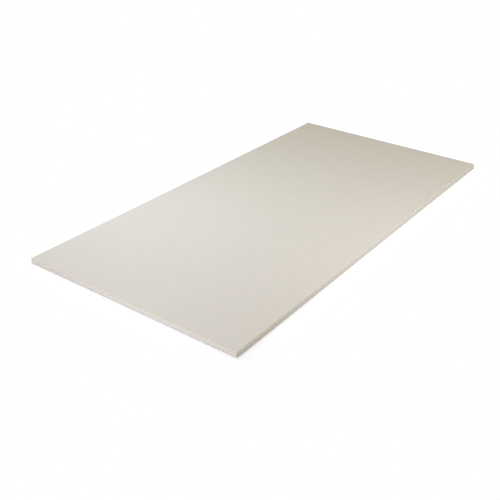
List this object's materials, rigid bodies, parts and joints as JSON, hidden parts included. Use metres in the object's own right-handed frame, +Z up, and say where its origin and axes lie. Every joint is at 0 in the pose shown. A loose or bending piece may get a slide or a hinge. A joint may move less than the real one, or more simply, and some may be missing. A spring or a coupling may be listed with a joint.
{
  "type": "drywall sheet",
  "caption": "Flat square-edged gypsum wallboard sheet with an ivory paper face, paper-bound long edges lapped under its back, and sawn ends.",
  "frame": {"origin": "middle of the back, on the surface that the sheet lies on", "axes": "+X along the bound long edges, +Y across the sheet, +Z up, from the back to the finish face"},
  "size_m": [1.2, 0.6, 0.0125],
  "materials": {
    "paper_liner": "matte"
  },
  "bodies": {
    "root": {"drywall_sheet": "paper_liner"}
  },
  "joints": []
}
